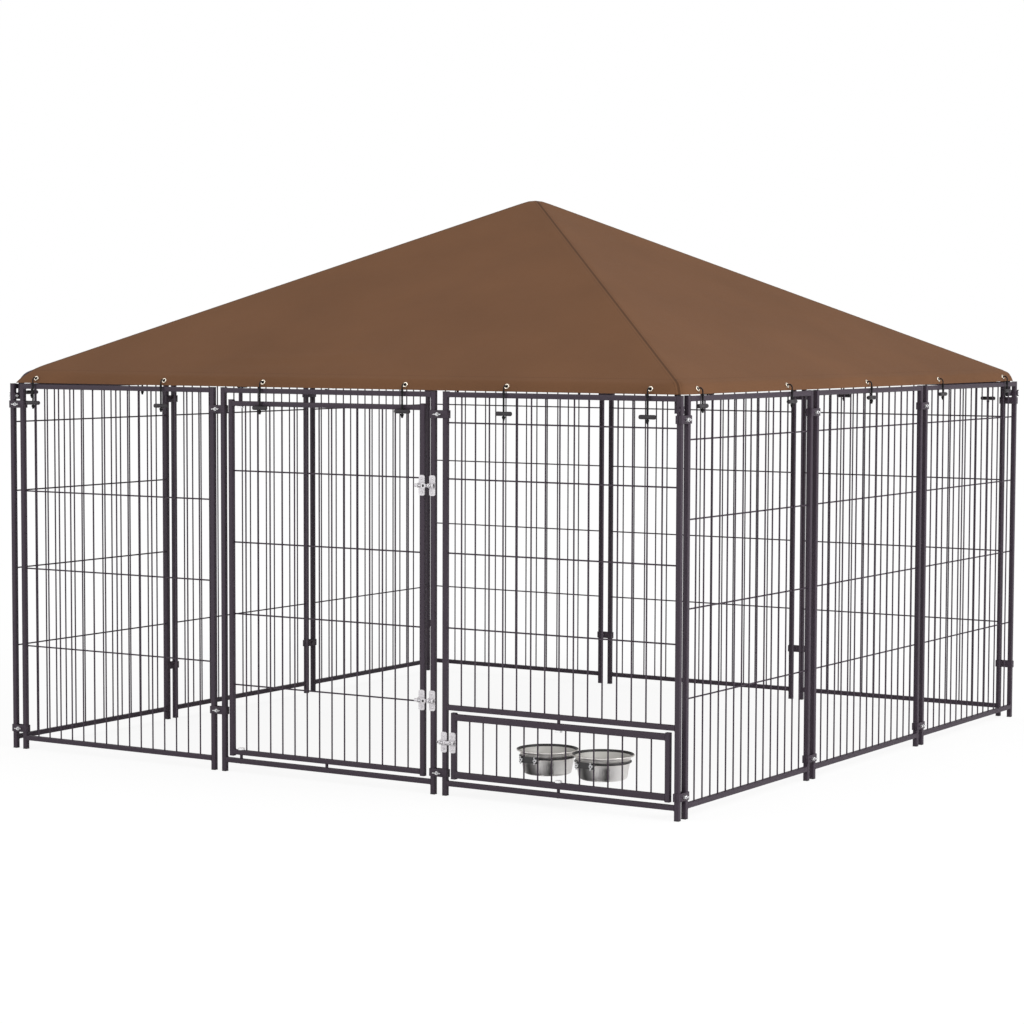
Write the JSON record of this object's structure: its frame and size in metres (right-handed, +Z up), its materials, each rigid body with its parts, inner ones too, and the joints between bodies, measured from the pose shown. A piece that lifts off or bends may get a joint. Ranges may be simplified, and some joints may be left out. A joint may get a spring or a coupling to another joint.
{
  "type": "outdoor dog kennel run",
  "caption": "Square walk-in dog run of welded mesh panels with a latched swing door, a turning feeder gate holding steel bowls, and a tied fabric hip roof on poles.",
  "frame": {"origin": "centre of the square footprint, on the ground under the feet", "axes": "+Z up; -Y is the front with the door and the feeder gate; +X runs right along the front seen from outside"},
  "size_m": [2.1482, 2.1517, 1.546],
  "materials": {
    "frame_paint": "charcoal powder coat",
    "fastener_steel": "zinc plated",
    "latch_zinc": "bright zinc plate",
    "bowl_steel": "polished stainless steel",
    "holder_paint": "black coat",
    "cap_plastic": "moulded",
    "roof_fabric": "coated woven polyester",
    "eyelet_steel": "plated",
    "tie_elastic": "braided sleeve",
    "toggle_plastic": "moulded"
  },
  "bodies": {
    "kennel": {"front_panel": "frame_paint", "right_panel_1": "frame_paint", "right_panel_2": "frame_paint", "right_panel_3": "frame_paint", "back_panel_1": "frame_paint", "back_panel_2": "frame_paint", "back_panel_3": "frame_paint", "left_panel_1": "frame_paint", "left_panel_2": "frame_paint", "left_panel_3": "frame_paint", "door_frame": "frame_paint", "feeder_frame": "frame_paint", "feeder_mesh": "frame_paint", "door_studs": "frame_paint", "clamp_outer_halves": "frame_paint", "clamp_inner_halves": "frame_paint", "hip_pole_front_right": "frame_paint", "hip_pole_back_right": "frame_paint", "hip_pole_back_left": "frame_paint", "hip_pole_front_left": "frame_paint", "corner_elbows": "frame_paint", "pivot_bolts": "fastener_steel", "post_latch_screws": "fastener_steel", "clamp_bolts": "fastener_steel", "clamp_wing_nuts": "fastener_steel", "pole_screws": "fastener_steel", "pole_nuts": "fastener_steel", "upper_latch_keeper": "latch_zinc", "lower_latch_keeper": "latch_zinc", "feeder_latch_carrier": "latch_zinc", "tie_hooks": "holder_paint", "foot_caps": "cap_plastic", "top_caps": "cap_plastic", "apex_hub": "cap_plastic", "canopy_front": "roof_fabric", "canopy_right": "roof_fabric", "canopy_back": "roof_fabric", "canopy_left": "roof_fabric", "canopy_grommets": "eyelet_steel", "tie_cords": "tie_elastic", "tie_toggles": "toggle_plastic"},
    "door": {"door_leaf": "frame_paint", "upper_latch_carrier": "latch_zinc", "lower_latch_carrier": "latch_zinc", "door_latch_screws": "fastener_steel"},
    "feeder_gate": {"feeder_gate": "frame_paint", "feeder_latch_keeper": "latch_zinc", "gate_latch_screws": "fastener_steel", "left_bowl_ring": "holder_paint", "right_bowl_ring": "holder_paint", "bowl_clamp_plates": "holder_paint", "bowl_wing_nuts": "fastener_steel"},
    "upper_latch": {"upper_latch_bolt": "latch_zinc"},
    "lower_latch": {"lower_latch_bolt": "latch_zinc"},
    "feeder_latch": {"feeder_latch_bolt": "latch_zinc"},
    "left_bowl": {"left_bowl": "bowl_steel"},
    "right_bowl": {"right_bowl": "bowl_steel"}
  },
  "joints": [
    {"name": "door_swing", "type": "hinge", "parent": "kennel", "child": "door", "pos_m": [-0.261, -1.0545, 0.5], "axis": [0, 0, 1], "range_deg": [0, 100]},
    {"name": "upper_latch_slide", "type": "slide", "parent": "door", "child": "upper_latch", "axis": [1, 0, 0], "range_m": [0, 0.007]},
    {"name": "lower_latch_slide", "type": "slide", "parent": "door", "child": "lower_latch", "axis": [1, 0, 0], "range_m": [0, 0.007]},
    {"name": "feeder_swivel", "type": "hinge", "parent": "kennel", "child": "feeder_gate", "pos_m": [0.721, -1.0545, 0.128], "axis": [0, 0, 1], "continuous": true},
    {"name": "feeder_latch_slide", "type": "slide", "parent": "kennel", "child": "feeder_latch", "axis": [1, 0, 0], "range_m": [0, 0.006]},
    {"name": "left_bowl_lift", "type": "slide", "parent": "feeder_gate", "child": "left_bowl", "axis": [0, 0, 1], "range_m": [0, 0.07]},
    {"name": "right_bowl_lift", "type": "slide", "parent": "feeder_gate", "child": "right_bowl", "axis": [0, 0, 1], "range_m": [0, 0.07]}
  ]
}
